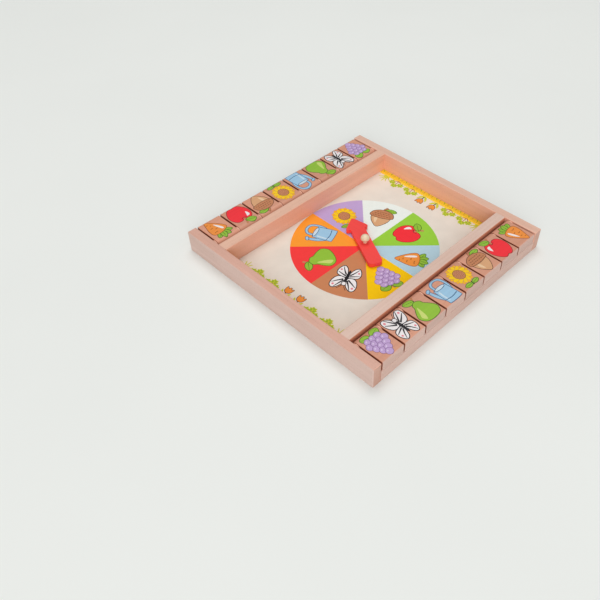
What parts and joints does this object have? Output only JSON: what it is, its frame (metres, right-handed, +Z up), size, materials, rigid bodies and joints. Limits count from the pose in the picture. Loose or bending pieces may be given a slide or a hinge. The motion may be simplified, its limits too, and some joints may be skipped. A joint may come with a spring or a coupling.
{
  "type": "shut the box game",
  "caption": "Square wooden shut the box game: a shallow tray with a spinner over a printed wheel, and banks of flip tiles hinged on dowels along opposite sides.",
  "frame": {"origin": "middle of the underside, on the table", "axes": "+X along the tile rows, +Y across the tray from the near row to the far row, +Z up"},
  "size_m": [0.3, 0.3, 0.028],
  "materials": {
    "beech_frame": "sanded, thin clear matt lacquer",
    "beech_tile": "sanded, thin clear matt lacquer",
    "plywood": "sanded",
    "printed_paper": "matt",
    "dowel_rod": "raw",
    "red_paint": "satin paint",
    "peg_wood": "smooth",
    "washer": "smooth"
  },
  "bodies": {
    "frame": {"end_rail_left": "beech_frame", "end_rail_right": "beech_frame", "partition_near": "beech_frame", "partition_far": "beech_frame", "rest_rail_near": "beech_frame", "rest_rail_far": "beech_frame", "base_board": "plywood", "tray_floor_paper": "printed_paper", "hinge_dowel_near": "dowel_rod", "hinge_dowel_far": "dowel_rod", "hinge_spacers_near": "dowel_rod", "hinge_spacers_far": "dowel_rod", "joint_dowels": "dowel_rod", "spinner_peg": "peg_wood", "spinner_washer": "washer"},
    "tile_near_1": {"tile_near_1": "beech_tile"},
    "tile_near_2": {"tile_near_2": "beech_tile"},
    "tile_near_3": {"tile_near_3": "beech_tile"},
    "tile_near_4": {"tile_near_4": "beech_tile"},
    "tile_near_5": {"tile_near_5": "beech_tile"},
    "tile_near_6": {"tile_near_6": "beech_tile"},
    "tile_near_7": {"tile_near_7": "beech_tile"},
    "tile_near_8": {"tile_near_8": "beech_tile"},
    "tile_far_1": {"tile_far_1": "beech_tile"},
    "tile_far_2": {"tile_far_2": "beech_tile"},
    "tile_far_3": {"tile_far_3": "beech_tile"},
    "tile_far_4": {"tile_far_4": "beech_tile"},
    "tile_far_5": {"tile_far_5": "beech_tile"},
    "tile_far_6": {"tile_far_6": "beech_tile"},
    "tile_far_7": {"tile_far_7": "beech_tile"},
    "tile_far_8": {"tile_far_8": "beech_tile"},
    "arrow": {"spinner_arrow": "red_paint"}
  },
  "joints": [
    {"name": "flip_near_1", "type": "hinge", "parent": "frame", "child": "tile_near_1", "pos_m": [-0.11987, -0.1145, 0.021], "axis": [-1, 0, 0], "range_deg": [0, 103]},
    {"name": "flip_near_2", "type": "hinge", "parent": "frame", "child": "tile_near_2", "pos_m": [-0.08563, -0.1145, 0.021], "axis": [-1, 0, 0], "range_deg": [0, 103]},
    {"name": "flip_near_3", "type": "hinge", "parent": "frame", "child": "tile_near_3", "pos_m": [-0.05137, -0.1145, 0.021], "axis": [-1, 0, 0], "range_deg": [0, 103]},
    {"name": "flip_near_4", "type": "hinge", "parent": "frame", "child": "tile_near_4", "pos_m": [-0.01713, -0.1145, 0.021], "axis": [-1, 0, 0], "range_deg": [0, 103]},
    {"name": "flip_near_5", "type": "hinge", "parent": "frame", "child": "tile_near_5", "pos_m": [0.01713, -0.1145, 0.021], "axis": [-1, 0, 0], "range_deg": [0, 103]},
    {"name": "flip_near_6", "type": "hinge", "parent": "frame", "child": "tile_near_6", "pos_m": [0.05137, -0.1145, 0.021], "axis": [-1, 0, 0], "range_deg": [0, 103]},
    {"name": "flip_near_7", "type": "hinge", "parent": "frame", "child": "tile_near_7", "pos_m": [0.08563, -0.1145, 0.021], "axis": [-1, 0, 0], "range_deg": [0, 103]},
    {"name": "flip_near_8", "type": "hinge", "parent": "frame", "child": "tile_near_8", "pos_m": [0.11987, -0.1145, 0.021], "axis": [-1, 0, 0], "range_deg": [0, 103]},
    {"name": "flip_far_1", "type": "hinge", "parent": "frame", "child": "tile_far_1", "pos_m": [-0.11987, 0.1145, 0.021], "axis": [1, 0, 0], "range_deg": [0, 103]},
    {"name": "flip_far_2", "type": "hinge", "parent": "frame", "child": "tile_far_2", "pos_m": [-0.08563, 0.1145, 0.021], "axis": [1, 0, 0], "range_deg": [0, 103]},
    {"name": "flip_far_3", "type": "hinge", "parent": "frame", "child": "tile_far_3", "pos_m": [-0.05137, 0.1145, 0.021], "axis": [1, 0, 0], "range_deg": [0, 103]},
    {"name": "flip_far_4", "type": "hinge", "parent": "frame", "child": "tile_far_4", "pos_m": [-0.01713, 0.1145, 0.021], "axis": [1, 0, 0], "range_deg": [0, 103]},
    {"name": "flip_far_5", "type": "hinge", "parent": "frame", "child": "tile_far_5", "pos_m": [0.01713, 0.1145, 0.021], "axis": [1, 0, 0], "range_deg": [0, 103]},
    {"name": "flip_far_6", "type": "hinge", "parent": "frame", "child": "tile_far_6", "pos_m": [0.05137, 0.1145, 0.021], "axis": [1, 0, 0], "range_deg": [0, 103]},
    {"name": "flip_far_7", "type": "hinge", "parent": "frame", "child": "tile_far_7", "pos_m": [0.08563, 0.1145, 0.021], "axis": [1, 0, 0], "range_deg": [0, 103]},
    {"name": "flip_far_8", "type": "hinge", "parent": "frame", "child": "tile_far_8", "pos_m": [0.11987, 0.1145, 0.021], "axis": [1, 0, 0], "range_deg": [0, 103]},
    {"name": "arrow_spin", "type": "hinge", "parent": "frame", "child": "arrow", "pos_m": [0, 0, 0.007], "axis": [0, 0, 1], "continuous": true}
  ]
}
